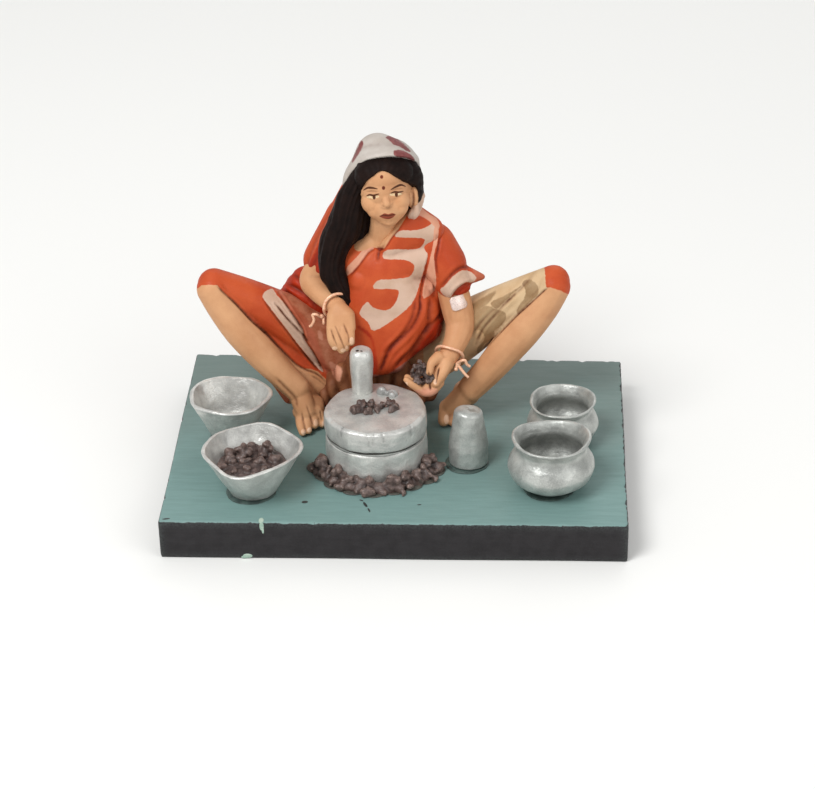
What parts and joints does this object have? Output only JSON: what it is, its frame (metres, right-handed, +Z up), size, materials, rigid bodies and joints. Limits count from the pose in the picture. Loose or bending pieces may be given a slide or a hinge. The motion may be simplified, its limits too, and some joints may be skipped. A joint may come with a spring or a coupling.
{
  "type": "clay doll tableau",
  "caption": "Painted clay figure of a seated woman in a sari grinding grain at a rotary hand quern, with bowls, pots and a tumbler, on a rectangular board.",
  "frame": {"origin": "centre of the board's underside", "axes": "+Z up, the figure faces -Y, +X to the right of someone who looks at its face, along the board's long side"},
  "size_m": [0.14, 0.098, 0.1059],
  "materials": {
    "board_paint": "teal-green brush paint on the top, black on the sides, satin, chipped",
    "glue_stain": "dried glue and dark paint film, matte",
    "silver_paint": "aluminium paint over modelled clay, semi-gloss with brush marks and cracks",
    "steel_wire": "plain drawn wire",
    "grain_brown": "small hand-rolled clay lumps, varnished brown",
    "skin_paint": "tan paint over clay, satin",
    "hair_black": "black paint over combed clay, satin",
    "sari_cream": "cream paint with dull red and khaki blotches",
    "sari_orange": "orange-red paint with cream bands and folds",
    "sari_hem": "dull pink, brown and beige paint over pleated clay",
    "bangle_wire": "peach paint on thin wire",
    "pearl_paint": "pearl white paint"
  },
  "bodies": {
    "tableau": {"base_board": "board_paint", "glue_beds": "glue_stain", "heap_glue_bed": "glue_stain", "quern_lower_stone": "silver_paint", "quern_pin": "steel_wire", "grain_heap": "grain_brown", "bowl_rear": "silver_paint", "bowl_rear_crumb": "silver_paint", "bowl_front": "silver_paint", "grain_in_bowl": "grain_brown", "tumbler": "silver_paint", "pot_front": "silver_paint", "pot_rear": "silver_paint", "torso": "skin_paint", "seat_nails": "steel_wire", "neck_wire": "steel_wire", "head": "skin_paint", "hair_cap": "hair_black", "hair_fall": "hair_black", "pallu_hood": "sari_cream", "pallu_fall": "sari_orange", "sari_bodice": "sari_orange", "sari_sleeve": "sari_orange", "hip_drape": "sari_orange", "lap_pleats": "sari_hem", "right_thigh": "sari_orange", "left_thigh": "sari_cream", "right_shin": "skin_paint", "left_shin": "skin_paint", "right_foot": "skin_paint", "left_foot": "skin_paint", "right_leg_wire": "steel_wire", "left_leg_wire": "steel_wire", "right_arm": "skin_paint", "left_arm": "skin_paint", "right_hand": "skin_paint", "left_hand": "skin_paint", "right_arm_wire": "steel_wire", "left_arm_wire": "steel_wire", "armlet": "pearl_paint", "palm_grain": "grain_brown"},
    "runner": {"quern_runner_stone": "silver_paint", "runner_boss": "silver_paint", "quern_handle": "silver_paint", "grain_on_runner": "grain_brown"},
    "bangle_r": {"right_bangle": "bangle_wire"},
    "bangle_l": {"left_bangle": "bangle_wire"}
  },
  "joints": [
    {"name": "runner_turn", "type": "hinge", "parent": "tableau", "child": "runner", "pos_m": [-0.0065, -0.0135, 0.03], "axis": [0, 0, 1], "range_deg": [-8, 240]},
    {"name": "right_bangle_turn", "type": "hinge", "parent": "tableau", "child": "bangle_r", "pos_m": [-0.01948, 0.00936, 0.05471], "axis": [-0.5319, 0.8385, 0.1189], "range_deg": [-12, 12]},
    {"name": "left_bangle_turn", "type": "hinge", "parent": "tableau", "child": "bangle_l", "pos_m": [0.01554, 0.00632, 0.03949], "axis": [0.263, 0.7975, 0.543], "range_deg": [-12, 12]}
  ]
}
